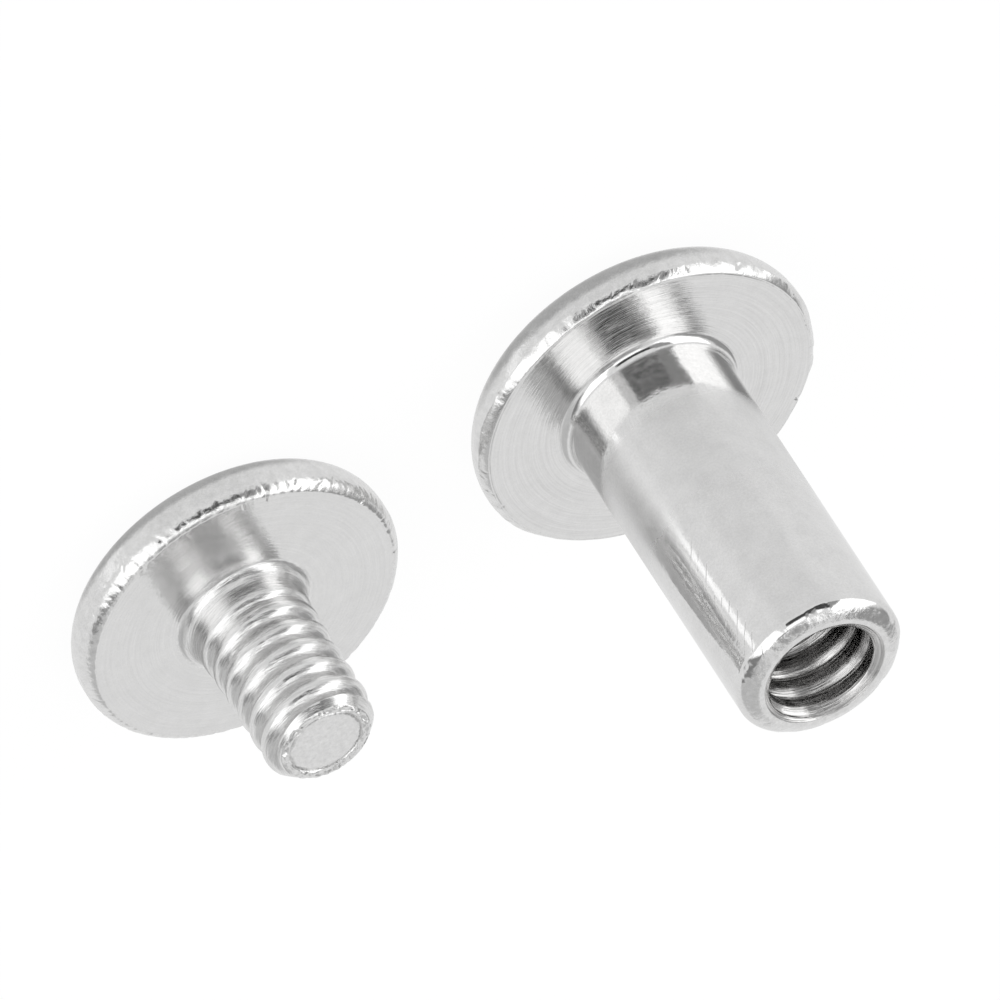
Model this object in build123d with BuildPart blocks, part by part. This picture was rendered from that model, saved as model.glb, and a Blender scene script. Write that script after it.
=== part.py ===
"""Binding barrel screw: a flanged barrel, tapped down its middle, and the machine screw that goes into it.

Both pieces stand on their crowned heads with their posts up, side by side along X, unscrewed from each
other. Each was turned from one bar, so each is one solid. Sizes are in millimetres and +Z is up.
"""

import math
import os

from build123d import *

# Thread: number 6, 32 turns to the inch, right-hand
thread_major_radius = 1.75
thread_pitch = 25.4 / 32
thread_depth = 0.53 * thread_pitch
crest_flat = thread_pitch / 8
flank_angle = 30
ridge_overlap = 0.05

# Least height of a head's side that stays straight, between its rounded edge and its lip
straight_side = 0.02

# Barrel
barrel_head_radius = 5.36
barrel_head_height = 1.97
barrel_lip_height = 0.35
barrel_lip_width = 0.24
barrel_crown_radius = 30.0
barrel_edge_radius = 1.28
tube_radius = 2.6
tube_length = 11.36
tube_fillet = 0.45
mouth_rounding = 0.4
tapping_depth = 0.33
bore_radius = thread_major_radius - tapping_depth
bore_depth = 9.0
bore_chamfer = 0.46
drill_point_angle = 118

# Screw
screw_head_radius = 5.06
screw_head_height = 1.82
screw_lip_height = 0.3
screw_lip_width = 0.14
screw_crown_radius = 40.0
screw_edge_radius = 0.65
screw_length = 5.5
collar_step = 0.05
collar_length = 0.75
collar_fillet = 0.4
tip_chamfer = 0.5
slot_width = 1.2
slot_depth = 0.8

# Places of the two pieces, with the box round both centred on the origin
axis_spacing = 13.14
total_width = barrel_head_radius + axis_spacing + screw_head_radius
barrel_base = Plane(origin=(barrel_head_radius - total_width / 2, 0, 0))
screw_base = Plane(origin=(total_width / 2 - screw_head_radius, 0, 0))


def upright(base):
    """The plane of a piece's half-section: across from its axis, and up."""
    return Plane(origin=base.origin, x_dir=base.x_dir, z_dir=-base.y_dir)


def standing_axis(base):
    return Axis(base.origin, base.z_dir)


def widest_edge(head_radius, side_top, crown_radius):
    """The largest edge rounding that runs smoothly into the crown and ends at the top of the side."""
    crown_rise = crown_radius**2 - head_radius**2 - (crown_radius - side_top) ** 2
    return crown_rise / (2 * (crown_radius - head_radius))


def crowned_head(head_radius, height, lip_height, lip_width, crown_radius, edge_radius):
    """Half the section of a head: a low crown at the bottom, a rounded edge, and a flat seat on top."""
    crown_angle = math.degrees(math.asin(head_radius / crown_radius))
    side_top = height - lip_height - straight_side
    edge_room = widest_edge(head_radius, side_top, crown_radius)
    with BuildSketch() as section:
        with BuildLine():
            crown = CenterArc((0, crown_radius), crown_radius, -90, crown_angle)
            Polyline(
                crown @ 1,
                (head_radius, height - lip_height),
                (head_radius - lip_width, height),
                (0, height),
                crown @ 0,
            )
        make_face()
        lower_edge = section.vertices().group_by(Axis.X)[-1].sort_by(Axis.Y)[0]
        fillet(lower_edge, radius=min(edge_radius, edge_room))
    return section.sketch


def threaded_rod(base, length):
    """A round core with a right-hand ridge wound on it, both running on past the length at each end."""
    core_radius = thread_major_radius - thread_depth
    half_crest = crest_flat / 2
    half_foot = half_crest + (thread_depth + ridge_overlap) * math.tan(math.radians(flank_angle))
    with BuildPart() as rod:
        with BuildSketch(base.offset(-2 * thread_pitch)):
            Circle(core_radius)
        extrude(amount=length + 4 * thread_pitch)
        with BuildLine(base.offset(-thread_pitch)) as winding:
            Helix(thread_pitch, length + 2 * thread_pitch, core_radius)
        with BuildSketch(Plane(origin=winding.line @ 0, x_dir=base.x_dir, z_dir=winding.line % 0)):
            with BuildLine():
                Polyline(
                    (-ridge_overlap, -half_foot),
                    (thread_depth, -half_crest),
                    (thread_depth, half_crest),
                    (-ridge_overlap, half_foot),
                    close=True,
                )
            make_face()
        sweep(path=winding.line, is_frenet=True)
    return rod.part


mouth_z = barrel_head_height + tube_length
bore_bottom_z = mouth_z - bore_depth
drill_point = bore_radius / math.tan(math.radians(drill_point_angle / 2))

with BuildPart() as barrel:
    with BuildSketch(upright(barrel_base)) as barrel_outline:
        add(
            crowned_head(
                barrel_head_radius,
                barrel_head_height,
                barrel_lip_height,
                barrel_lip_width,
                barrel_crown_radius,
                barrel_edge_radius,
            )
        )
        with Locations((0, barrel_head_height)):
            Rectangle(tube_radius, tube_length, align=(Align.MIN, Align.MIN))
        seat_corners = barrel_outline.vertices().filter_by_position(
            Axis.Y, barrel_head_height, barrel_head_height
        )
        fillet(seat_corners.sort_by(Axis.X)[0], radius=tube_fillet)
        mouth_corner = barrel_outline.vertices().group_by(Axis.Y)[-1].sort_by(Axis.X)[-1]
        fillet(mouth_corner, radius=mouth_rounding)
        with BuildLine():
            Polyline(
                (0, mouth_z),
                (bore_radius + bore_chamfer, mouth_z),
                (bore_radius, mouth_z - bore_chamfer),
                (bore_radius, bore_bottom_z),
                (0, bore_bottom_z - drill_point),
                close=True,
            )
        make_face(mode=Mode.SUBTRACT)
    revolve(axis=standing_axis(barrel_base))
barrel.part.label = "barrel"

tip_z = screw_head_height + screw_length
collar_radius = thread_major_radius + collar_step
root_z = screw_head_height - thread_pitch / 2

with BuildPart() as screw:
    add(threaded_rod(screw_base.offset(root_z), tip_z - root_z))
    with BuildSketch(upright(screw_base)):
        with BuildLine():
            Polyline(
                (0, root_z),
                (collar_radius, root_z),
                (collar_radius, tip_z - tip_chamfer - collar_step),
                (thread_major_radius - tip_chamfer, tip_z),
                (0, tip_z),
                close=True,
            )
        make_face()
    revolve(axis=standing_axis(screw_base), mode=Mode.INTERSECT)
    with BuildSketch(upright(screw_base)) as screw_outline:
        add(
            crowned_head(
                screw_head_radius,
                screw_head_height,
                screw_lip_height,
                screw_lip_width,
                screw_crown_radius,
                screw_edge_radius,
            )
        )
        with Locations((0, screw_head_height)):
            Rectangle(collar_radius, collar_length, align=(Align.MIN, Align.MIN))
        seat_corners = screw_outline.vertices().filter_by_position(
            Axis.Y, screw_head_height, screw_head_height
        )
        fillet(seat_corners.sort_by(Axis.X)[0], radius=collar_fillet)
    revolve(axis=standing_axis(screw_base))
    with BuildSketch(screw_base):
        Rectangle(2 * screw_head_radius, slot_width)
    extrude(amount=slot_depth, mode=Mode.SUBTRACT)
screw.part.label = "screw"

os.makedirs("parts", exist_ok=True)
for piece in (barrel, screw):
    export_step(piece.part, f"parts/{piece.part.label}.step")
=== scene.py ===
# %% [markdown]
# # Binding barrel screw
#
# Two small turned parts in bright nickel: a barrel with a tapped bore, and the machine screw that goes into
# it to hold loose sheets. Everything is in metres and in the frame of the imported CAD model, with +Z up. The
# model gives the places, widths and heights of both parts, so those are read from it and not typed here.

# %% The CAD frame
import math
import random
from collections import namedtuple

import bmesh
import bpy
from mathutils import Matrix, Vector, noise


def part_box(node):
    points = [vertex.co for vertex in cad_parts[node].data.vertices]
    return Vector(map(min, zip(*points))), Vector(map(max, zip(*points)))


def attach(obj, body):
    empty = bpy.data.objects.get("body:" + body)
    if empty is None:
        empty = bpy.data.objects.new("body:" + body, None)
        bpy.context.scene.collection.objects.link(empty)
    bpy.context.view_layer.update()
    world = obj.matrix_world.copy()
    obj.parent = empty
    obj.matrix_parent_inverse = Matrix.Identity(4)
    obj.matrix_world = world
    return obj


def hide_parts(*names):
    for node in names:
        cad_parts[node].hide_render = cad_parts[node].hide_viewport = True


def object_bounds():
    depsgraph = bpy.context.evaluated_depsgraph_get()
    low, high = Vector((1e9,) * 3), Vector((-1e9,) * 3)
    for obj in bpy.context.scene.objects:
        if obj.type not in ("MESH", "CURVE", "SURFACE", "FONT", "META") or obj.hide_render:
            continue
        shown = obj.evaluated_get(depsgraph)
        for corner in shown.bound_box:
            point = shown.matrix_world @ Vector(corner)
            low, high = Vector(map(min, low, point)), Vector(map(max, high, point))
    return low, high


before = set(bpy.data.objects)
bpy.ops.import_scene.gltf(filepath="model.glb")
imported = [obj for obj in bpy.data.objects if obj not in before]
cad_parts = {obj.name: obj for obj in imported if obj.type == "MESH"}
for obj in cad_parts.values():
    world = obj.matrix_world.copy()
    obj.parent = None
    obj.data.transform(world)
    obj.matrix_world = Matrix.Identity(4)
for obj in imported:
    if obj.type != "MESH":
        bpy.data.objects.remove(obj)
cad_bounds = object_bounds()
mm = 0.001
ground = cad_bounds[0][2]


def foot_of_axis(low, high):
    """The point on the ground under the middle of a turned part's box."""
    middle = (Vector(low) + Vector(high)) / 2
    return Vector((middle.x, middle.y, ground))


barrel_low, barrel_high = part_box("barrel")
screw_low, screw_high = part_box("screw")
barrel_base = foot_of_axis(barrel_low, barrel_high)
screw_base = foot_of_axis(screw_low, screw_high)
print("CAD nodes", list(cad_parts), "with axes at", barrel_base, "and", screw_base)

# %% [markdown]
# ## The camera
#
# A long lens shows the two parallel posts without any narrowing. It looks down at the seats of the heads
# and is rolled over, so that both posts point down to the right. A roll could be typed as an angle. Here it
# is built from where the posts lead in the picture, which is easier to see and to change.

# %% Camera
camera_azimuth = math.radians(8.8)
camera_elevation = math.radians(37.1)
post_direction = Vector((0.5445, -0.8387)).normalized()
view_width = 28.7 * mm
lens_length = 1000
sensor_width = 36
aim_across = 5.065 * mm
aim_height = 1.84 * mm


def placed(name, data):
    """A new object in the scene, at the origin."""
    made = bpy.data.objects.new(name, data)
    bpy.context.scene.collection.objects.link(made)
    return made


back = Vector(
    (
        math.sin(camera_azimuth) * math.cos(camera_elevation),
        -math.cos(camera_azimuth) * math.cos(camera_elevation),
        math.sin(camera_elevation),
    )
)
across = Vector((math.cos(camera_azimuth), math.sin(camera_azimuth), 0))
aim = barrel_base + aim_across * across + Vector((0, 0, aim_height))

post = (Vector((0, 0, 1)) - back.z * back).normalized()
beside = back.cross(post)
camera_right = post_direction.x * post - post_direction.y * beside
camera_up = back.cross(camera_right)
turn = Matrix((camera_right, camera_up, back)).transposed()

camera = placed("studio_camera", bpy.data.cameras.new("studio_camera"))
camera.data.lens = lens_length
camera.data.sensor_width = sensor_width
camera.data.clip_start = 0.05
camera.data.clip_end = 10
distance = view_width * lens_length / sensor_width
camera.matrix_world = Matrix.Translation(aim + back * distance) @ turn.to_4x4()
bpy.context.scene.camera = camera
print("camera", round(distance, 4), "m away")

# %% [markdown]
# ## Turned surfaces
#
# Each part was turned from a bar, so it is a stack of rings round one axis. Blender's Spin tool could do
# this too, but rings made in code can change their number of vertices from one to the next: the wide rim
# needs many for its nicks, and the slim thread needs fewer. Each strip also gets the number of its finish.

# %% Rings
TUMBLED, SEAT, POLISHED, THREAD, FACE, BORE = range(6)
full_turn = 2 * math.pi


def arc(centre, radii, start, end, steps):
    """Points of an arc of a half-section, as (distance from the axis, height)."""
    points = []
    for step in range(steps + 1):
        angle = math.radians(start + (end - start) * step / steps)
        points.append((centre[0] + radii[0] * math.cos(angle), centre[1] + radii[1] * math.sin(angle)))
    return points


def ring(shape, base, radius, height, count, wear=None):
    """One ring of vertices round the axis that stands on base, worn by a rule of angle and height."""
    made = []
    for step in range(count):
        angle = full_turn * step / count
        inward, down = wear(angle, radius, height) if wear else (0, 0)
        here = radius - inward
        place = Vector((here * math.cos(angle), here * math.sin(angle), height - down))
        made.append(shape.verts.new(base + place))
    return made


# %% [markdown]
# ### Strips between rings
#
# Two rings with as many vertices are joined by four-sided faces. Where their numbers differ, each new
# triangle steps along the ring that is behind, so that the triangles stay even.

# %% Strips and caps
def strip(shape, first, second, finish):
    """Faces between two rings, which may differ in their number of vertices."""
    count_a = len(first)
    count_b = len(second)
    corners = []
    if count_a == count_b:
        for step in range(count_a):
            after = (step + 1) % count_a
            corners.append((first[step], first[after], second[after], second[step]))
    else:
        step_a = 0
        step_b = 0
        while step_a < count_a or step_b < count_b:
            a = first[step_a % count_a]
            b = second[step_b % count_b]
            a_is_behind = (step_a + 1) * count_b <= (step_b + 1) * count_a
            if step_b == count_b or (step_a < count_a and a_is_behind):
                step_a += 1
                corners.append((a, first[step_a % count_a], b))
            else:
                step_b += 1
                corners.append((a, second[step_b % count_b], b))
    for face in corners:
        shape.faces.new(face).material_index = finish


def turned(shape, base, outline, wear=None):
    """Rings along an outline of (radius, height, finish, vertices), and the strips between them."""
    rings = []
    for radius, height, finish, count in outline:
        rings.append(ring(shape, base, radius, height, count, wear))
        if len(rings) > 1:
            strip(shape, rings[-2], rings[-1], finish)
    print("turned", len(rings), "rings with", len(shape.faces), "faces")
    return rings[0], rings[-1]


def cap(shape, base, height, edge, finish):
    """A fan that closes a ring at its middle."""
    middle = shape.verts.new(base + Vector((0, 0, height)))
    for step in range(len(edge)):
        fan = (edge[step], edge[(step + 1) % len(edge)], middle)
        shape.faces.new(fan).material_index = finish


# %% [markdown]
# ## Node trees in short words
#
# The thread and all the materials are node trees. A script gives the same tree on each run, and a few short
# words for nodes and links keep it near to plain sums.

# %% A helper for node trees
class Tree:
    """A node tree that grows to the right, in short words."""

    def __init__(self, tree):
        self.tree = tree
        self.at = 0

    def node(self, kind, **values):
        """A new node, to the right of the last one."""
        made = self.tree.nodes.new(kind)
        made.location = (self.at, 0)
        self.at += 180
        for name, value in values.items():
            setattr(made, name, value)
        return made

    def plug(self, value, socket):
        """Links a socket to another, or sets it to a plain value."""
        if isinstance(value, bpy.types.NodeSocket):
            self.tree.links.new(value, socket)
        elif value is not None:
            socket.default_value = value

    def fed(self, made, vector, values):
        """A node's outputs, with its Vector and its other inputs set by name."""
        self.plug(vector, made.inputs["Vector"])
        for name, value in values.items():
            self.plug(value, made.inputs[name])
        return made.outputs

    def math(self, operation, a, b=None, clamp=False):
        made = self.node("ShaderNodeMath", operation=operation, use_clamp=clamp)
        self.plug(a, made.inputs[0])
        self.plug(b, made.inputs[1])
        return made.outputs[0]

    def add(self, a, b):
        return self.math("ADD", a, b)

    def take(self, a, b):
        return self.math("SUBTRACT", a, b)

    def times(self, a, b):
        return self.math("MULTIPLY", a, b)

    def over(self, a, b):
        return self.math("DIVIDE", a, b)

    def ramp(self, value, low, high, to_low=0.0, to_high=1.0, smooth=False):
        made = self.node("ShaderNodeMapRange")
        made.interpolation_type = "SMOOTHSTEP" if smooth else "LINEAR"
        for socket, item in zip(made.inputs, (value, low, high, to_low, to_high)):
            self.plug(item, socket)
        return made.outputs[0]

    def vector(self, x, y, z):
        made = self.node("ShaderNodeCombineXYZ")
        for socket, value in zip(made.inputs, (x, y, z)):
            self.plug(value, socket)
        return made.outputs[0]

    def parts(self, vector):
        return self.fed(self.node("ShaderNodeSeparateXYZ"), vector, {})

    def noise(self, vector, scale, detail=2.0, roughness=0.5):
        values = {"Scale": scale, "Detail": detail, "Roughness": roughness}
        return self.fed(self.node("ShaderNodeTexNoise"), vector, values)["Fac"]

    def mapped(self, vector, **values):
        return self.fed(self.node("ShaderNodeMapping"), vector, values)[0]

    def turned(self, vector, angle):
        made = self.node("ShaderNodeVectorRotate", rotation_type="Z_AXIS")
        return self.fed(made, vector, {"Angle": angle})[0]

    def group(self, tree, vector, **values):
        return self.fed(self.node("ShaderNodeGroup", node_tree=tree), vector, values)

    def give(self, *values):
        """Ends a group: its tree, with the values plugged into its outputs."""
        out = self.node("NodeGroupOutput")
        for socket, value in zip(out.inputs, values):
            self.plug(value, socket)
        print(self.tree.name, "has", len(self.tree.nodes), "nodes")
        return self.tree


# %% [markdown]
# ## Threads
#
# A thread is one ridge wound round a post. It could be modelled with the Screw modifier, but its ends would
# then have to be joined to the collar and the tip by hand. Here a Geometry Nodes tree bends a flat grid
# into a tube, and the radius at each point depends on how far along the winding it lies. The same tree
# makes the screw's thread and, with its crests pointing inwards, the thread in the barrel's bore.

# %% Inputs of the wound wall
wound_wall = bpy.data.node_groups.new("wound_wall", "GeometryNodeTree")
wall_inputs = {
    "NodeSocketInt": ("Around", "Rows Per Turn", "Rows"),
    "NodeSocketFloat": ("Start", "End", "Pitch", "Crest Radius", "Root Radius", "Crest Share")
    + ("Roundness", "Wobble", "Run In", "Start Radius", "End Radius", "End Slope"),
    "NodeSocketVector": ("Base",),
    "NodeSocketMaterial": ("Finish",),
}
for kind, names in wall_inputs.items():
    for name in names:
        wound_wall.interface.new_socket(name, in_out="INPUT", socket_type=kind)
wound_wall.interface.new_socket("Wall", in_out="OUTPUT", socket_type="NodeSocketGeometry")
print("the wound wall has", len(wound_wall.interface.items_tree) - 1, "inputs")

# %% [markdown]
# ### Along the winding
#
# The grid's columns go round the post and its rows go up along the winding, so a row that has gone once
# round has climbed by one pitch. Heights are held between the thread's start and end, which makes both ends
# level rings.

# %% Where a point of the grid lies on the winding
g = Tree(wound_wall)
given = g.node("NodeGroupInput").outputs
grid = g.node("GeometryNodeMeshGrid")
g.plug(g.add(given["Around"], 1), grid.inputs["Vertices X"])
g.plug(given["Rows"], grid.inputs["Vertices Y"])
index = g.node("GeometryNodeInputIndex").outputs[0]
column = g.math("FLOOR", g.over(g.add(index, 0.5), given["Rows"]))
row = g.take(index, g.times(column, given["Rows"]))
turn_share = g.over(column, given["Around"])
angle = g.times(turn_share, full_turn)
wound = g.add(g.over(row, given["Rows Per Turn"]), g.take(turn_share, 1))
rising = g.add(given["Start"], g.times(wound, given["Pitch"]))
height = g.math("MAXIMUM", g.math("MINIMUM", rising, given["End"]), given["Start"])
along = g.take(height, given["Start"])
print("nodes for the winding:", len(wound_wall.nodes))

# %% [markdown]
# ### The ridge
#
# A cut thread has sharp flanks, but nickel plating and wear round it, so the ridge follows a power curve
# from its crest to its root. It rises slowly out of the collar over the run-in, where the cutting tool was
# drawn back, and a fine noise keeps its light from running too evenly.

# %% The ridge
wobble_size = 0.5 * mm
wobble_squeeze = 2.5

phase = g.math("FRACT", g.take(g.over(along, given["Pitch"]), turn_share))
from_crest = g.times(g.math("ABSOLUTE", g.take(phase, 0.5)), 2)
down_flank = g.ramp(from_crest, given["Crest Share"], 1)
ridge = g.take(1, g.math("POWER", down_flank, given["Roundness"]))
ridge_height = g.take(given["Crest Radius"], given["Root Radius"])
wall = g.add(given["Root Radius"], g.times(ridge, ridge_height))
run_in = g.ramp(along, 0, given["Run In"], smooth=True)
wall = g.add(given["Start Radius"], g.times(g.take(wall, given["Start Radius"]), run_in))

cosine = g.math("COSINE", angle)
sine = g.math("SINE", angle)
round_x = g.times(cosine, given["Crest Radius"])
round_y = g.times(sine, given["Crest Radius"])
spot = g.vector(round_x, round_y, g.times(height, wobble_squeeze))
lumps = g.take(g.noise(spot, 1 / wobble_size, 3), 0.5)
wall = g.add(wall, g.times(g.times(lumps, given["Wobble"]), run_in))
print("nodes with the ridge:", len(wound_wall.nodes))

# %% [markdown]
# ### The chamfered end and the finished wall
#
# A chamfer cuts the thread at its end: a cone from outside on the screw, and one from inside in the bore,
# which is told by the sign of the slope. The points are then moved to their places, the seam is merged,
# and the tree ends with a plain mesh that has its material.

# %% From grid to wall
merge_distance = 0.002 * mm

left = g.take(given["End"], height)
chamfer = g.add(given["End Radius"], g.times(left, given["End Slope"]))
inward = g.math("LESS_THAN", given["End Slope"], 0)
cut_out = g.math("MINIMUM", wall, chamfer)
cut_in = g.math("MAXIMUM", wall, chamfer)
radius = g.add(cut_out, g.times(inward, g.take(cut_in, cut_out)))

moved = g.node("ShaderNodeVectorMath", operation="ADD")
g.plug(g.vector(g.times(radius, cosine), g.times(radius, sine), height), moved.inputs[0])
g.plug(given["Base"], moved.inputs[1])
closing_steps = {
    "GeometryNodeSetPosition": {"Position": moved.outputs[0]},
    "GeometryNodeMergeByDistance": {"Distance": merge_distance},
    "GeometryNodeRealizeInstances": {},
    "GeometryNodeSetMaterial": {"Material": given["Finish"]},
}
made_so_far = grid.outputs["Mesh"]
for kind, values in closing_steps.items():
    following = g.node(kind)
    g.plug(made_so_far, following.inputs["Geometry"])
    for name, value in values.items():
        g.plug(value, following.inputs[name])
    made_so_far = following.outputs[0]
g.give(made_so_far)

# %% [markdown]
# ### Winding a thread into a part
#
# The tree runs on an empty carrier object, and its result becomes a plain mesh before the carrier is
# removed. That mesh joins the rings of its part. The open rings at its two ends are found by their height,
# so that strips can join them to the collar, the tip or the mouth.

# %% Winding a thread
thread_pitch = 25.4 / 32 * mm
rows_per_turn = 20


def applied(piece, modifier):
    """The piece's mesh with a modifier worked out. The modifier itself is removed."""
    graph = bpy.context.evaluated_depsgraph_get()
    made = bpy.data.meshes.new_from_object(piece.evaluated_get(graph))
    piece.modifiers.remove(modifier)
    return made


def wound_mesh(name, values):
    """Runs the tree once and gives back its plain mesh."""
    carrier = placed(name, bpy.data.meshes.new(name))
    winding = carrier.modifiers.new("winding", "NODES")
    winding.node_group = wound_wall
    for item in wound_wall.interface.items_tree:
        if item.in_out == "INPUT":
            winding[item.identifier] = values[item.name]
    made = applied(carrier, winding)
    bpy.data.objects.remove(carrier)
    print(name, "has", len(made.polygons), "faces")
    return made


def open_ring(shape, base, height, added_after):
    """The ring of open edges at a height among the vertices added last, sorted by angle."""
    found = set()
    for edge in shape.edges:
        if edge.is_boundary:
            for corner in edge.verts:
                off_level = abs(corner.co.z - base.z - height)
                if corner.index >= added_after and off_level < 0.001 * mm:
                    found.add(corner)

    def bearing_of(corner):
        turned_by = math.atan2(corner.co.y - base.y, corner.co.x - base.x)
        return (turned_by + 0.001) % full_turn

    return sorted(found, key=bearing_of)


def add_thread(shape, base, name, finish, values):
    """Winds a thread into a shape, and gives back its open rings at its start and its end."""
    turns = (values["End"] - values["Start"]) / thread_pitch
    values["Pitch"] = thread_pitch
    values["Rows Per Turn"] = rows_per_turn
    values["Rows"] = math.ceil((turns + 1) * rows_per_turn) + 2
    values["Base"] = base
    wall = wound_mesh(name, values)
    vertices_before = len(shape.verts)
    faces_before = len(shape.faces)
    shape.from_mesh(wall)
    shape.faces.ensure_lookup_table()
    for face in shape.faces[faces_before:]:
        face.material_index = finish
    shape.verts.index_update()
    return [open_ring(shape, base, values[end], vertices_before) for end in ("Start", "End")]


# %% [markdown]
# ## Marks on the metal
#
# Both parts are bright nickel over turned steel, but the tools left each surface different. An image could
# hold such marks, but a pattern of noise stays sharp from close by and needs no unwrapping. Four small node
# groups make them: turning rings, tumbled mottling, long scratches and a row of crossing scratches.

# %% Starting a group of marks
def mark_group(name, inputs, outputs):
    """A node group with a Vector, numbers in and numbers out: its tree and what it is given."""
    tree = bpy.data.node_groups.new(name, "ShaderNodeTree")
    tree.interface.new_socket("Vector", in_out="INPUT", socket_type="NodeSocketVector")
    for label in inputs:
        tree.interface.new_socket(label, in_out="INPUT", socket_type="NodeSocketFloat")
    for label in outputs:
        tree.interface.new_socket(label, in_out="OUTPUT", socket_type="NodeSocketFloat")
    t = Tree(tree)
    return t, t.node("NodeGroupInput").outputs


# %% [markdown]
# ### Turning rings
#
# The point of a lathe tool leaves fine rings round the axis, of uneven depth. Noise that is read by the
# distance from the axis makes them, and a slow drift sideways lets each ring fade in and out on its way
# round. Height is added to the distance, so that the rings also show on walls that stand upright.

# %% Turning rings
t, given = mark_group("turning_rings", ["Spacing", "Drift"], ["Height"])
x, y, z = t.parts(given["Vector"])
from_axis = t.math("SQRT", t.add(t.times(x, x), t.times(y, y)))
rings_passed = t.over(t.add(from_axis, z), given["Spacing"])
spot = t.vector(rings_passed, t.times(x, given["Drift"]), t.times(y, given["Drift"]))
rings_group = t.give(t.noise(spot, 1.0, 3.0, 0.65))

# %% [markdown]
# ### Tumbling
#
# Small parts are finished in a drum full of other parts, which leaves soft mottling and a finer grain: two
# layers of noise.

# %% Tumbled mottling and grain
grain_fineness = 9.0

t, given = mark_group("tumble_marks", ["Size"], ["Mottle", "Grain"])
scale = t.over(1.0, given["Size"])
mottle = t.noise(given["Vector"], scale, 3.0, 0.6)
grain = t.noise(given["Vector"], t.times(scale, grain_fineness), 2.0, 0.6)
tumble_group = t.give(mottle, grain)

# %% [markdown]
# ### Long scratches
#
# A thin straight scratch lies where a noise crosses its middle value, once the pattern is stretched along
# one direction. A second, slower noise says where scratches lie at all, so that most of the metal is clean.

# %% Long scratches
drift_scale = 350.0
line_scale = 2600.0
edge_of_patch = 0.06

t, given = mark_group("long_scratches", ["Width", "Rarity"], ["Scratch"])
drift = t.noise(given["Vector"], drift_scale, 1.0)
fine = t.noise(given["Vector"], line_scale, 1.0)
off_line = t.math("ABSOLUTE", t.take(fine, 0.5))
line = t.ramp(off_line, 0.0, given["Width"], 1.0, 0.0, smooth=True)
where = t.ramp(drift, given["Rarity"], t.add(given["Rarity"], edge_of_patch), smooth=True)
scratch_group = t.give(t.times(line, where))

# %% [markdown]
# ### Crossing scratches
#
# A row of short slanted scratches runs up one side of the tube, as if it had been dragged over an edge
# again and again. The place is turned until the row faces +X. Then its height, leant over by the slant and
# bent a little by noise, says how far it is from the nearest scratch.

# %% Crossing scratches
bend_scale = 900.0
gap_scale = 1700.0

row_inputs = ["Bearing", "Spread", "Spacing", "Slant", "Width", "Bottom"]
t, given = mark_group("crossing_scratches", row_inputs, ["Scratch"])
out, side, up = t.parts(t.turned(given["Vector"], t.times(given["Bearing"], -1)))
bend = t.take(t.noise(given["Vector"], bend_scale), 0.5)
leant = t.add(t.add(up, t.times(side, given["Slant"])), t.times(bend, given["Spacing"]))
step = t.math("FRACT", t.over(leant, given["Spacing"]))
off_line = t.times(t.math("ABSOLUTE", t.take(step, 0.5)), given["Spacing"])
line = t.ramp(off_line, 0.0, given["Width"], 1.0, 0.0, smooth=True)
line = t.times(line, t.ramp(t.noise(given["Vector"], gap_scale, 1.0), 0.42, 0.52, smooth=True))
full_width = t.times(given["Spread"], 0.6)
beside_row = t.ramp(t.math("ABSOLUTE", side), full_width, given["Spread"], 1.0, 0.0)
line = t.times(line, t.times(beside_row, t.math("GREATER_THAN", out, 0.0)))
line = t.times(line, t.math("GREATER_THAN", up, given["Bottom"]))
crossing_group = t.give(line)

# %% [markdown]
# ### What each kind of mark changes
#
# All that the eye reads as wear comes from small changes of height, shade and gloss. Each kind of mark says
# what it adds to those three. Heights are in thousandths of a millimetre. A satin band is the plainest one:
# it only makes the metal duller between two heights.

# %% Marks as height, shade and gloss
scratch_dulling = 0.1


def ring_marks(m, place, spacing, drift, depth, shade):
    rings = m.take(m.group(rings_group, place, Spacing=spacing, Drift=drift)[0], 0.5)
    return [("height", m.times(rings, depth)), ("shade", m.times(rings, shade))]


def tumble_marks(m, place, size, waves, grain, shade, grain_shade, gloss, stretch=(1, 1, 1)):
    marks = m.group(tumble_group, m.mapped(place, Scale=stretch), Size=size)
    mottle = m.take(marks["Mottle"], 0.5)
    fine = m.take(marks["Grain"], 0.5)
    return [
        ("height", m.times(mottle, waves)),
        ("height", m.times(fine, grain)),
        ("shade", m.times(mottle, shade)),
        ("shade", m.times(fine, grain_shade)),
        ("gloss", m.times(mottle, gloss)),
    ]


def scratch_marks(m, place, turn, stretch, width, rarity, depth):
    stretched = m.mapped(place, Rotation=turn, Scale=stretch)
    mark = m.group(scratch_group, stretched, Width=width, Rarity=rarity)[0]
    return [("height", m.times(mark, -depth)), ("gloss", m.times(mark, scratch_dulling))]


def crossing_marks(m, place, depth, shade, **values):
    mark = m.group(crossing_group, place, **values)[0]
    return [("height", m.times(mark, -depth)), ("shade", m.times(mark, shade))]


def satin_marks(m, place, start, full, fading, end, amount):
    up = m.parts(place)[2]
    rising = m.ramp(up, start, full, 0, amount, smooth=True)
    falling = m.ramp(up, fading, end, 1, 0, smooth=True)
    return [("gloss", m.times(rising, falling))]


# %% [markdown]
# ### One metal, many surfaces
#
# Nickel is a plain metallic shader. Each surface could have its own nodes, but they would be much alike, so
# one function makes them all: it adds up what the marks say and feeds the sums to the bump, the colour and
# the roughness. A Mapping node puts the part's own axis at the middle of every pattern.

# %% The nickel material
bump_unit = 0.001 * mm


def new_material(name):
    """A material, its tree and its shader."""
    made = bpy.data.materials.new(name)
    made.use_nodes = True
    return made, Tree(made.node_tree), made.node_tree.nodes["Principled BSDF"]


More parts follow.
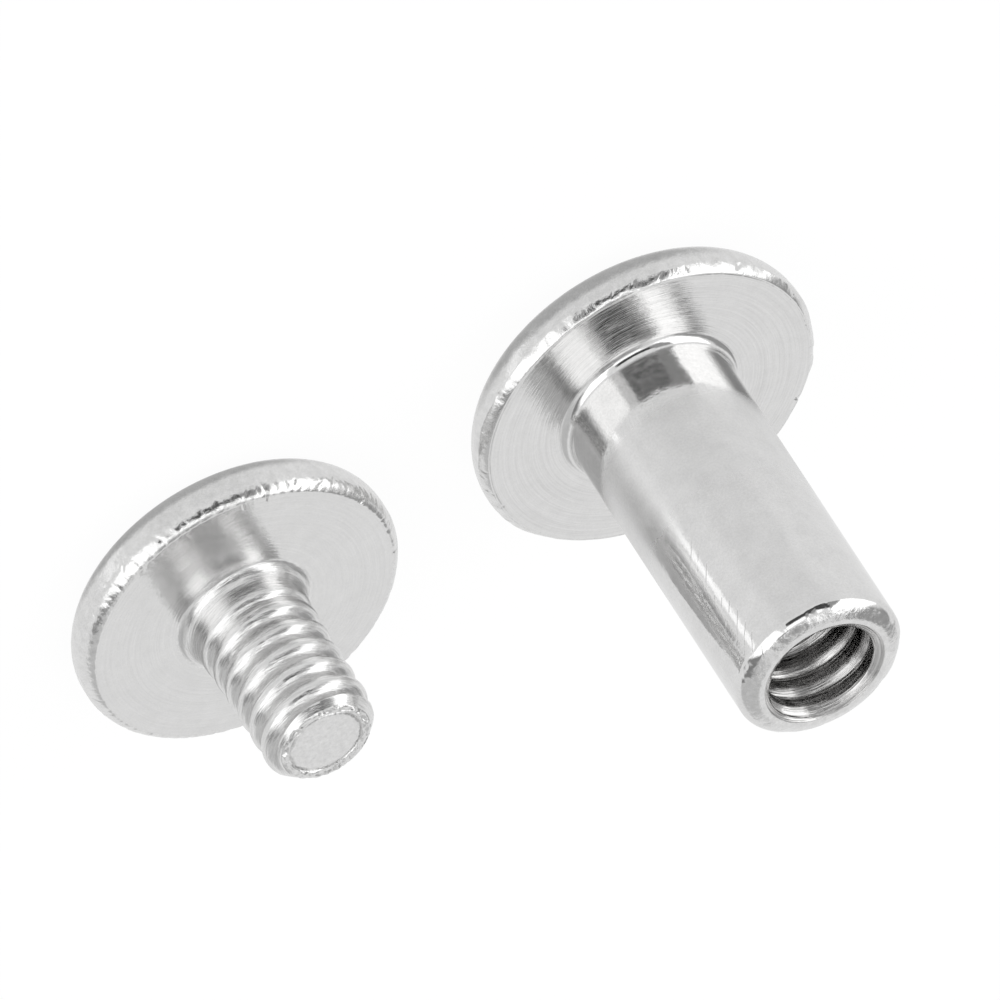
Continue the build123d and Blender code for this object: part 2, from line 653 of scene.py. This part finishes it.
def nickel(name, axis, colour, roughness, marks):
    """Nickel with marks on it, from a list of (kind of mark, its values)."""
    made, m, shader = new_material(name)
    m.plug(1, shader.inputs["Metallic"])
    place = m.mapped(m.node("ShaderNodeTexCoord").outputs["Object"], Location=-axis)
    total = {}
    for mark, values in marks:
        for kind, value in mark(m, place, **values):
            total[kind] = m.add(total[kind], value) if kind in total else value
    tint = m.node("ShaderNodeVectorMath", operation="SCALE")
    m.plug(colour, tint.inputs[0])
    m.plug(m.add(1.0, total["shade"]), tint.inputs["Scale"])
    m.plug(tint.outputs[0], shader.inputs["Base Color"])
    m.plug(m.math("ADD", roughness, total["gloss"], clamp=True), shader.inputs["Roughness"])
    bump = m.node("ShaderNodeBump")
    m.plug(1.0, bump.inputs["Strength"])
    m.plug(bump_unit, bump.inputs["Distance"])
    m.plug(total["height"], bump.inputs["Height"])
    m.plug(bump.outputs["Normal"], shader.inputs["Normal"])
    print(name, "has", len(made.node_tree.nodes), "nodes")
    return made


# %% [markdown]
# ### The five finishes of a part
#
# The rim is tumbled, the seat keeps its turning rings, the crown and the tube are polished, and the thread
# and the cut faces keep the marks of their tools. One recipe holds for both parts: the barrel is only
# glossier, and its rings are deeper.

# %% Finishes that both parts have
metal = (0.75, 0.748, 0.745)
rim_roughness = 0.16
thread_roughness = 0.2
shade_per_depth = 0.035


def finishes(label, axis, seat_roughness, ring_depth, post_roughness, face_roughness, post_marks=()):
    """The finishes of one part, in the order of their numbers."""
    rim = dict(size=0.3 * mm, waves=16, grain=3, shade=0.35, grain_shade=0.35, gloss=0.3)
    rings = dict(spacing=0.055 * mm, drift=350, depth=ring_depth, shade=ring_depth * shade_per_depth)
    seat = dict(size=0.5 * mm, waves=6, grain=0.8, shade=0.12, grain_shade=0.12, gloss=0.1)
    polish = dict(size=0.6 * mm, waves=7, grain=1.0, shade=0.22, grain_shade=0.22, gloss=0.15)
    lines = dict(turn=(0.5, 0.3, 0.2), stretch=(1, 1, 0.08), width=0.01, rarity=0.56, depth=4)
    thread = dict(size=0.1 * mm, waves=16, grain=1.5, shade=0.6, grain_shade=0.3, gloss=0.3)
    thread["stretch"] = (0.12, 0.12, 1.6)
    face = dict(size=0.16 * mm, waves=16, grain=1.6, shade=0.4, grain_shade=0.3, gloss=0.3)
    recipes = [
        ("_tumbled_rim", rim_roughness, [(tumble_marks, rim)]),
        ("_turned_seat", seat_roughness, [(ring_marks, rings), (tumble_marks, seat)]),
        ("_polished", post_roughness, [(tumble_marks, polish), (scratch_marks, lines), *post_marks]),
        ("_cut_thread", thread_roughness, [(tumble_marks, thread)]),
        ("_sawn_face", face_roughness, [(tumble_marks, face)]),
    ]
    return [nickel(label + name, axis, metal, roughness, marks) for name, roughness, marks in recipes]


screw_finishes = finishes(
    "screw", screw_base, seat_roughness=0.1, ring_depth=4.5, post_roughness=0.15, face_roughness=0.2
)

# %% [markdown]
# ### The barrel's own marks
#
# The barrel's tube is a little duller near the head than at its mouth, and the row of crossing scratches
# runs up it. Its bore keeps the deep rings of the tap, and its metal colour is painted darker there, as
# painted shade of the deep hole.

# %% Finishes of the barrel
# The bore's metal colour is darker than the rest: painted shade of the deep hole.
bore_metal_painted_dark = (0.62, 0.615, 0.61)
bore_roughness = 0.03

crossed_line = dict(
    Bearing=camera_azimuth - math.radians(60),
    Spread=0.26 * mm,
    Spacing=0.5 * mm,
    Slant=-1.2,
    Width=0.025 * mm,
    Bottom=8.4 * mm,
    depth=5,
    shade=-0.14,
)
satin_band = dict(start=3.8 * mm, full=4.4 * mm, fading=6.2 * mm, end=9.4 * mm, amount=0.27)
barrel_finishes = finishes(
    "barrel",
    barrel_base,
    seat_roughness=0.06,
    ring_depth=9,
    post_roughness=0.085,
    face_roughness=0.13,
    post_marks=[(crossing_marks, crossed_line), (satin_marks, satin_band)],
)

tap_rings = dict(spacing=0.06 * mm, drift=260, depth=18, shade=1.6)
tap_grain = dict(size=0.1 * mm, waves=8, grain=0.2, shade=0.9, grain_shade=0.1, gloss=0.05)
tap_grain["stretch"] = (0.1, 0.1, 0.9)
bore_marks = [(ring_marks, tap_rings), (tumble_marks, tap_grain)]
barrel_finishes.append(nickel("barrel_tapped_bore_painted_shade", barrel_base, bore_metal_painted_dark, bore_roughness, bore_marks))

# %% [markdown]
# ## Rims
#
# The rim of a small turned head is never clean: other parts have struck it in the drum, so light breaks up
# along it. A bump in the material would fade at the rim's outline, so the nicks are real dents in the mesh.
# Each has a place, a slant, a length and a depth, drawn from a seeded random generator. A list for each
# degree lets a vertex test only the nicks near to it.

# %% Nicks along a rim
Head = namedtuple("Head", "radius seat_radius height lip_height crown_radius edge_radius")
Nicks = namedtuple("Nicks", "number width length depth slant")
sectors = 360


def draw_nicks(seed, head, nicks):
    """For each degree of the rim, the nicks that reach it."""
    draw = random.Random(seed)
    drawn = [
        (
            draw.uniform(0, full_turn),
            head.height - draw.uniform(-0.02 * mm, head.lip_height * 0.8),
            nicks.width * (0.5 + draw.random()),
            nicks.length * (0.4 + draw.random()),
            nicks.depth * (0.25 + draw.random() ** 2),
            nicks.slant * (0.4 + draw.random()),
        )
        for _ in range(nicks.number)
    ]
    reach = 1.5 * nicks.length / head.radius
    near = [[] for _ in range(sectors)]
    for nick in sorted(drawn):
        first = math.floor((nick[0] - reach) / full_turn * sectors)
        last = math.ceil((nick[0] + reach) / full_turn * sectors)
        for sector in range(first, last + 1):
            near[sector % sectors].append(nick)
    print(nicks.number, "nicks, at most", max(len(those) for those in near), "in one degree")
    return near


def leant_over(side, rise, lean):
    """A step sideways and up, measured across and along a line that leans over by an angle."""
    cosine = math.cos(lean)
    sine = math.sin(lean)
    return side * cosine - rise * sine, side * sine + rise * cosine


def nick_depth(near, head, angle, height):
    """How deep the nicks go at a place on the rim."""
    total = 0
    for place, level, width, length, depth, lean in near[int(angle / full_turn * sectors) % sectors]:
        side = ((angle - place + math.pi) % full_turn - math.pi) * head.radius
        across_nick, along_nick = leant_over(side, height - level, lean)
        across_nick /= width
        along_nick /= length
        away = across_nick * across_nick + along_nick * along_nick
        if away < 1:
            total += depth * (1 - away) ** 2
    return total


# %% [markdown]
# ### Softer wear
#
# Between the nicks the rim is softly uneven, the lower edge of its lip wanders up and down, and fine
# slanted marks lie across it like the teeth of a comb. Layers of noise make all three. The teeth fade at
# the seam where the angle starts again, and all wear fades away from the rim, so the seat stays true.

# %% Wear of a rim
ripple_layers = ((0.45 * mm, 0, 1), (0.14 * mm, 7, 0.5))
wander_layers = ((2.2 * mm, 3, 1), (0.5 * mm, 4, 0.5), (0.16 * mm, 5, 0.12))
comb_width = 0.11 * mm
comb_length = 0.6 * mm
seam_angle = 0.02
wander_reach = 2.6
wear_reach = 1.6
inward_share = 0.75
downward_share = 0.5


def layered(spot, seed, layers):
    """Adds up noise, from layers of (size, a number that sets it apart, share)."""
    total = 0
    for size, apart, share in layers:
        total += noise.noise(spot / size + Vector((seed, apart, 0))) * share
    return total


def held(value):
    """The value, held between 0 and 1."""
    return min(1, max(0, value))


def rim_wear(seed, head, nicks, ragged, ripple, comb_depth=0, comb_slant=0):
    """A rule that gives the inward and downward wear at an angle and a height of the rim.

    ragged is how far the lower edge of the lip wanders, and ripple is the depth of the soft unevenness.
    """
    near = draw_nicks(seed, head, nicks)
    lip = head.lip_height

    def wear(angle, radius, height):
        below = head.height - height
        from_rim = head.radius - radius
        if below > wander_reach * lip or from_rim > wear_reach * lip:
            return 0, 0
        spot = Vector((math.cos(angle), math.sin(angle), height / head.radius)) * head.radius
        total = nick_depth(near, head, angle, height)
        total += max(0, layered(spot, seed, ripple_layers) + 0.2) * ripple
        across_tooth, along_tooth = leant_over(angle * head.radius, below + from_rim, comb_slant)
        teeth = noise.noise(Vector((across_tooth / comb_width, along_tooth / comb_length, seed + 0.5)))
        off_seam = min(1, min(angle, full_turn - angle) / seam_angle)
        total += max(0, teeth + 0.25) * comb_depth * off_seam
        fade = held((wear_reach * lip - from_rim) / (0.6 * lip))
        fade *= held((wear_reach * lip - below) / (0.8 * lip))
        drop = held(below / lip) * held((wander_reach * lip - below) / (1.6 * lip))
        wander = layered(spot, seed, wander_layers) * drop * ragged
        return total * fade * inward_share, total * fade * downward_share + wander

    return wear


# %% [markdown]
# ### The outline of a head
#
# Both heads are turned to the same recipe: a low crown, a rounded edge, a short side, a lip that tumbling
# has rolled over, and a flat seat. Only the sizes differ, so one function draws both. The rings get closer,
# and have more vertices, where the rim's marks are.

# %% Half the section of a head
arc_steps = 14
crown_count = 192
round_count = 384
rim_count = 1536
side_shares = (0.4, 0.8, 1.0)
seat_shares = (0.12, 0.25, 0.4, 0.55, 0.7, 0.85, 1.0)


def crown_and_edge(head):
    """From the middle of the crown to the lower end of the lip."""
    inset = head.radius - head.edge_radius
    reach = head.crown_radius - head.edge_radius
    edge_height = head.crown_radius - math.sqrt(reach * reach - inset * inset)
    meet = math.asin(inset / reach)
    points = []
    for step in range(1, arc_steps + 1):
        angle = meet * step / arc_steps
        rise = head.crown_radius * (1 - math.cos(angle))
        points.append((head.crown_radius * math.sin(angle), rise, POLISHED, crown_count))
    start = -90 + math.degrees(meet)
    edge = arc((inset, edge_height), (head.edge_radius, head.edge_radius), start, 0, arc_steps)
    points += [(x, z, TUMBLED, round_count) for x, z in edge[1:]]
    lip_start = head.height - head.lip_height
    for share in side_shares:
        points.append((head.radius, edge_height + (lip_start - edge_height) * share, TUMBLED, rim_count))
    return points


def lip_and_seat(head, lip_turn, groove, seat_inner):
    """From the lip to the inner edge of the seat.

    A lip_turn of 2 rounds the lip off like a quarter of an ellipse, and one near 1 makes it a flat chamfer.
    groove is the depth of the fine line that the turning tool left between the lip and the seat.
    """
    lip_start = head.height - head.lip_height
    lip_width = head.radius - head.seat_radius
    points = []
    for step in range(1, arc_steps + 1):
        angle = math.pi / 2 * step / arc_steps
        out = math.cos(angle) ** (2 / lip_turn) if step < arc_steps else 0
        up = math.sin(angle) ** (2 / lip_turn)
        place = (head.seat_radius + lip_width * out, lip_start + head.lip_height * up)
        points.append((*place, TUMBLED, rim_count))
    for inset, drop, finish in ((0.02, groove, TUMBLED), (0.04, 0, SEAT), (0.12, 0, SEAT)):
        points.append((head.seat_radius - inset * mm, head.height - drop, finish, rim_count))
    seat_width = head.seat_radius - seat_inner
    for share in seat_shares:
        points.append((head.seat_radius - seat_width * share, head.height, SEAT, round_count))
    return points


# %% [markdown]
# ## The screw
#
# A low crowned head, a smooth collar under it where the thread could not be cut, and about six turns of a
# right-hand thread up to a chamfered tip. The head comes first, as rings that go on into the collar.

# %% The screw's head and collar
thread_depth = 0.53 * thread_pitch
thread_major = 1.75 * mm
collar_radius = thread_major + 0.05 * mm
collar_length = 0.5 * mm
collar_fillet = 0.38 * mm
thread_count = 320

screw_height = screw_high[2] - screw_base.z
screw_head = Head(
    radius=(screw_high[0] - screw_low[0]) / 2,
    seat_radius=4.72 * mm,
    height=1.82 * mm,
    lip_height=0.46 * mm,
    crown_radius=40 * mm,
    edge_radius=0.85 * mm,
)
screw_wear = rim_wear(
    seed=11,
    head=screw_head,
    nicks=Nicks(number=90, width=0.06 * mm, length=0.2 * mm, depth=0.02 * mm, slant=0.9),
    ragged=0.05 * mm,
    ripple=0.008 * mm,
    comb_depth=0.02 * mm,
    comb_slant=0.95,
)

hollow = (collar_radius + collar_fillet, screw_head.height + collar_length)
outline = crown_and_edge(screw_head)
outline += lip_and_seat(screw_head, 1.6, groove=0, seat_inner=hollow[0])
collar = arc(hollow, (collar_fillet, collar_length), 270, 184, 12)
outline += [(x, z, THREAD, thread_count) for x, z in collar[1:]]
screw_shape = bmesh.new()
crown_ring, collar_ring = turned(screw_shape, screw_base, outline, screw_wear)
cap(screw_shape, screw_base, 0, crown_ring, POLISHED)

# %% [markdown]
# ### The screw's thread
#
# The thread runs out into the collar over a turn and a half, and its crests are narrow and rounded. At the
# tip the chamfer cuts it down to a plain ring.

# %% The screw's thread
tip_bead = 0.1 * mm
thread_start = screw_head.height + collar_length
thread_end = screw_height - tip_bead
low_ring, tip_ring = add_thread(
    screw_shape,
    screw_base,
    "screw_winding",
    THREAD,
    {
        "Around": thread_count,
        "Start": thread_start,
        "End": thread_end,
        "Crest Radius": thread_major,
        "Root Radius": thread_major - thread_depth,
        "Crest Share": 0.05,
        "Roundness": 2.1,
        "Wobble": 0.016 * mm,
        "Run In": 1.6 * thread_pitch,
        "Start Radius": collar_radius,
        "End Radius": 1.41 * mm,
        "End Slope": 0.8,
        "Finish": screw_finishes[THREAD],
    },
)
strip(screw_shape, collar_ring, low_ring, THREAD)

# %% [markdown]
# ### The tip
#
# The shank was sheared or sawn off, which left a lumpy bead of metal round a rough, slightly sunken face.
# A torus could stand for the bead, but rings that go on from the thread leave no seam.

# %% The tip's bead and face
bead_radius = 1.27 * mm
bead_width = 0.14 * mm
bead_height = 0.09 * mm
bead_reach = 0.2 * mm
lump_inward = 0.1 * mm
lump_down = 0.16 * mm
face_sink = 0.07 * mm
tip_z = screw_height - 0.03 * mm
sunken_face = ((1.12, 0.11), (1.08, 0.08), (1.0, 0.075), (0.6, 0.07), (0.2, 0.07))


def bead_wear(angle, radius, height):
    """Lumps of the bead, which fade out beside it."""
    near = max(0, 1 - abs(radius - bead_radius) / bead_reach)
    spot = Vector((math.cos(angle), math.sin(angle), radius / mm))
    lumps = noise.noise(spot * 3.1) * 0.7 + noise.noise(spot * 8) * 0.4
    return lumps * lump_inward * near, (lumps + 0.3) * lump_down * near


bead = arc((bead_radius, tip_z - bead_height), (bead_width, bead_height), 20, 165, 12)
bead += [(out * mm, tip_z - down * mm) for out, down in sunken_face]
bead = [(x, z, FACE, thread_count) for x, z in bead]
bead_ring, face_ring = turned(screw_shape, screw_base, bead, bead_wear)
strip(screw_shape, tip_ring, bead_ring, FACE)
cap(screw_shape, screw_base, tip_z - face_sink, face_ring, FACE)

# %% [markdown]
# ### From shape to mesh
#
# Each part is one closed skin, so its normals can be turned outwards in one go. Smooth shading then lets
# the strips read as one turned surface.

# %% A smooth mesh with its finishes
def smooth_piece(shape, name, coats):
    """An object from a shape, which is used up."""
    bmesh.ops.recalc_face_normals(shape, faces=shape.faces)
    mesh = bpy.data.meshes.new(name)
    shape.to_mesh(mesh)
    shape.free()
    for coat in coats:
        mesh.materials.append(coat)
    for face in mesh.polygons:
        face.use_smooth = True
    print(name, "has", len(mesh.polygons), "faces and", len(coats), "finishes")
    return placed(name, mesh)


screw_piece = smooth_piece(screw_shape, "turned_screw", screw_finishes)

# %% [markdown]
# ### The driver slot
#
# A slitting saw cuts the slot straight across the crown. A bar is taken out of the finished head with an
# exact boolean, as the saw would do it. Only sharp corners are then marked sharp, so the crown stays smooth.

# %% The driver slot across the crown
slot_width = 1.2 * mm
slot_depth = 0.8 * mm
sharp_corner = math.radians(50)

bar = bmesh.new()
bmesh.ops.create_cube(bar, size=1)
for corner in bar.verts:
    corner.co.x *= 2.4 * screw_head.radius
    corner.co.y *= slot_width
    corner.co.z *= 2 * slot_depth
    corner.co += screw_base
for face in bar.faces:
    face.material_index = FACE
bar_mesh = bpy.data.meshes.new("slot_bar")
bar.to_mesh(bar_mesh)
bar.free()
cutter = placed("slot_bar", bar_mesh)
cut = screw_piece.modifiers.new("slot", "BOOLEAN")
cut.operation = "DIFFERENCE"
cut.solver = "EXACT"
cut.material_mode = "INDEX"
cut.object = cutter
screw_piece.data = applied(screw_piece, cut)
screw_piece.data.set_sharp_from_angle(angle=sharp_corner)
bpy.data.objects.remove(cutter)
print("slot cut,", len(screw_piece.data.polygons), "faces")

# %% [markdown]
# ### Standing for the CAD model
#
# The finished piece rides on the part's only body and takes the place of its solid in the CAD model,
# which is hidden but stays in the scene.

# %% The screw takes its place
def declare(piece, node):
    """Hides the solid that a finished piece takes the place of, and sets the piece on the body it rides on.
    """
    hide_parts(node)
    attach(piece, "root")
    print(piece.name, "has", sum(len(f.vertices) - 2 for f in piece.data.polygons), "triangles")


declare(screw_piece, "screw")

# %% [markdown]
# ## The barrel
#
# The barrel has a wider head and a plain polished tube, bored and tapped from its open end. Its head is
# drawn as the screw's is, and a small fillet leads into the tube. The tube's mouth is rounded over by a
# part of an ellipse, and ends in a narrow flat face that slopes into the bore.

# %% The barrel's outline
tube_radius = 2.6 * mm
tube_fillet = 0.32 * mm
mouth_rounding = 0.56 * mm
mouth_drop = 0.46 * mm
mouth_turn = 55
mouth_face = 0.14 * mm
bore_edge = 1.9 * mm

barrel_height = barrel_high[2] - barrel_base.z
barrel_head = Head(
    radius=(barrel_high[0] - barrel_low[0]) / 2,
    seat_radius=5.15 * mm,
    height=1.97 * mm,
    lip_height=0.26 * mm,
    crown_radius=30 * mm,
    edge_radius=1.25 * mm,
)

hollow = (tube_radius + tube_fillet, barrel_head.height + tube_fillet)
outline = crown_and_edge(barrel_head)
outline += lip_and_seat(barrel_head, 1.25, groove=0.012 * mm, seat_inner=hollow[0])
for x, z in arc(hollow, (tube_fillet, tube_fillet), 270, 180, 10)[1:]:
    outline.append((x, z, SEAT if x > tube_radius + 0.3 * tube_fillet else POLISHED, round_count))
outline.append((tube_radius, barrel_height - mouth_drop - 0.05 * mm, POLISHED, round_count))

across_arc = mouth_rounding / (1 - math.cos(math.radians(mouth_turn)))
up_arc = mouth_drop / math.sin(math.radians(mouth_turn))
mouth_centre = (tube_radius - across_arc, barrel_height - mouth_drop)
lip = arc(mouth_centre, (across_arc, up_arc), 0, mouth_turn, arc_steps)
lip += [(bore_edge + 0.05 * mm, barrel_height), (bore_edge + 0.02 * mm, barrel_height - 0.005 * mm)]
for x, z in lip:
    outline.append((x, z, FACE if z > barrel_height - mouth_face else POLISHED, round_count))
print("the barrel's outline has", len(outline), "points")

# %% [markdown]
# ### Wear of the barrel
#
# The barrel's rim has fewer nicks than the screw's, but they are deeper, and its lip is more ragged. Its
# mouth was pressed and scraped as well, so a soft noise dents the rounding there.

# %% The barrel's worn skin
mouth_zone = 1.2 * mouth_drop
dent_inward = 0.05 * mm
dent_down = 0.03 * mm

barrel_rim = rim_wear(
    seed=5,
    head=barrel_head,
    nicks=Nicks(number=24, width=0.07 * mm, length=0.16 * mm, depth=0.045 * mm, slant=0.8),
    ragged=0.17 * mm,
    ripple=0.01 * mm,
)


def barrel_wear(angle, radius, height):
    """Wear of the rim, and of the mouth."""
    if height < barrel_height - mouth_zone:
        return barrel_rim(angle, radius, height)
    spot = Vector((math.cos(angle), math.sin(angle), height / mm)) * 2.6
    dent = max(0, noise.noise(spot * 1.2) * 0.9 + noise.noise(spot * 5) * 0.2)
    above = height - barrel_height + mouth_zone
    level = min(1, (barrel_height - height) / (0.1 * mm), 2 * above / mouth_drop)
    return dent * level * dent_inward, dent * level * dent_down


barrel_shape = bmesh.new()
crown_ring, mouth_ring = turned(barrel_shape, barrel_base, outline, barrel_wear)
cap(barrel_shape, barrel_base, 0, crown_ring, POLISHED)

# %% [markdown]
# ### The bore
#
# The thread inside is the same winding as the screw's, with its crests pointing inwards. Below it the
# plain drilled hole goes on, and ends in the cone that the drill's point left.

# %% The bore's thread and the drilled hole
bore_minor = 1.42 * mm
bore_crest = 1.64 * mm
bore_major = 1.82 * mm
bore_depth = 9.0 * mm
tapped_depth = 6.6 * mm
bore_count = 256
drill_half_angle = math.radians(59)

low_ring, high_ring = add_thread(
    barrel_shape,
    barrel_base,
    "bore_winding",
    BORE,
    {
        "Around": bore_count,
        "Start": barrel_height - tapped_depth,
        "End": barrel_height - 0.01 * mm,
        "Crest Radius": bore_crest,
        "Root Radius": bore_major,
        "Crest Share": 0.3,
        "Roundness": 1.6,
        "Wobble": 0.02 * mm,
        "Run In": 1.5 * thread_pitch,
        "Start Radius": bore_minor,
        "End Radius": bore_edge,
        "End Slope": -1.6,
        "Finish": barrel_finishes[BORE],
    },
)
strip(barrel_shape, mouth_ring, high_ring, FACE)
drill_z = barrel_height - bore_depth
drilled = ring(barrel_shape, barrel_base, bore_minor, drill_z, bore_count)
strip(barrel_shape, low_ring, drilled, BORE)
cap(barrel_shape, barrel_base, drill_z - bore_minor / math.tan(drill_half_angle), drilled, BORE)
declare(smooth_piece(barrel_shape, "turned_barrel", barrel_finishes), "barrel")

# %% [markdown]
# ## Floor
#
# The floor is plain white paper. It glows a little, as paper lit from behind does, which keeps the shadows
# of the heads faint. It is left out of mirror reflections, so that the metal mirrors the tent alone, and
# it can be looked through from below.

# %% Floor
half_floor = 1.5
paper_grey = 0.07
paper_glow = 0.945

floor_mesh = bpy.data.meshes.new("pale_floor")
floor_corners = [(x * half_floor, y * half_floor, 0) for x, y in ((-1, -1), (1, -1), (1, 1), (-1, 1))]
floor_mesh.from_pydata(floor_corners, [], [(0, 1, 2, 3)])
floor = placed("pale_floor", floor_mesh)
floor.location.z = ground - 0.01 * mm
paper, f, paper_shader = new_material("pale_paper")
for name, value in {
    "Base Color": (paper_grey, paper_grey, paper_grey, 1),
    "Roughness": 0.9,
    "Specular IOR Level": 0,
    "Emission Color": (1, 1, 1, 1),
    "Emission Strength": paper_glow,
}.items():
    f.plug(value, paper_shader.inputs[name])

either = f.node("ShaderNodeMixShader")
f.plug(f.node("ShaderNodeNewGeometry").outputs["Backfacing"], either.inputs[0])
f.plug(paper_shader.outputs[0], either.inputs[1])
f.plug(f.node("ShaderNodeBsdfTransparent").outputs[0], either.inputs[2])
f.plug(either.outputs[0], paper.node_tree.nodes["Material Output"].inputs["Surface"])
floor_mesh.materials.append(paper)
floor.visible_glossy = False
print("floor", 2 * half_floor, "m wide")

# %% [markdown]
# ## Light
#
# Polished metal shows only what it mirrors. Lamps would show as small hot spots, so the light is a white
# tent: the world itself, with brighter windows and a few dark places. Each is a patch, given by its bearing
# from the camera's side and its rise above the horizon.

# %% Bearing and rise in the tent
world = bpy.data.worlds.new("white_tent")
world.use_nodes = True
bpy.context.scene.world = world
w = Tree(world.node_tree)

looking = w.node("ShaderNodeTexCoord").outputs["Generated"]
look_right, look_away, look_up = w.parts(w.turned(looking, -camera_azimuth))
bearing = w.math("DEGREES", w.math("ARCTAN2", look_right, w.times(look_away, -1)))
rise = w.math("DEGREES", w.math("ARCSINE", look_up))


def between(value, low, high, edge):
    """1 from low to high, with soft edges."""
    entering = w.ramp(value, low - edge / 2, low + edge / 2, smooth=True)
    leaving = w.ramp(value, high - edge / 2, high + edge / 2, 1, 0, smooth=True)
    return w.times(entering, leaving)


def window(left, right, low, high, side_edge, end_edge):
    """1 inside a patch of the tent, by bearing and by rise, in degrees."""
    return w.times(between(bearing, left, right, side_edge), between(rise, low, high, end_edge))


print("nodes before the patches:", len(world.node_tree.nodes))

# %% [markdown]
# ### The patches
#
# The black card in front gives the dark patches by the heads, and the bright card above it and the windows
# at its sides give the light bands next to them. A slim lamp low down on the right draws the bright line
# beside the dark stripe on the tube, where the tube mirrors the screw.

# %% Patches of the tent
tent = 0.88
patches = [
    ("shade low in front", 0.82, window(-55, 15, -50, -5, 20, 20)),
    ("dim floor", 0.5, w.ramp(rise, -45, -64, smooth=True)),
    ("dim roof", 0.4, w.ramp(rise, 72, 80, smooth=True)),
    ("left window", 1.7, window(-113, -64, 8, 66, 5, 8)),
    ("right window", 1.5, window(22, 71, 8, 66, 6, 8)),
    ("dark curtain to the right", 0.26, window(77, 98, 16, 60, 12, 8)),
    ("dim wall behind, right", 0.6, window(101, 158, 14, 60, 8, 10)),
    ("slim lamp low on the right", 1.3, window(55.5, 63.5, -60, -20, 2, 20)),
    ("dim wall behind, left", 0.36, window(-155, -122, 12, 60, 10, 10)),
    ("dark curtain to the left", 0.36, window(-64, -42, 12, 52, 3, 8)),
    ("black card in front", 0.07, window(-42, 8, 25, 48, 3, 5)),
    ("bright card above it", 1.6, window(-40, 14, 53, 66, 6, 4)),
    ("dark card high on the right", 0.3, window(14, 60, 66, 74, 8, 4)),
]
level = tent
for name, target, mask in patches:
    level = w.add(level, w.times(w.take(target, level), mask))
    print(name, target)
background = world.node_tree.nodes["Background"]
w.plug((1, 1, 1, 1), background.inputs["Color"])
w.plug(level, background.inputs["Strength"])
bpy.context.scene.view_settings.view_transform = "Standard"
bpy.context.scene.view_settings.look = "None"
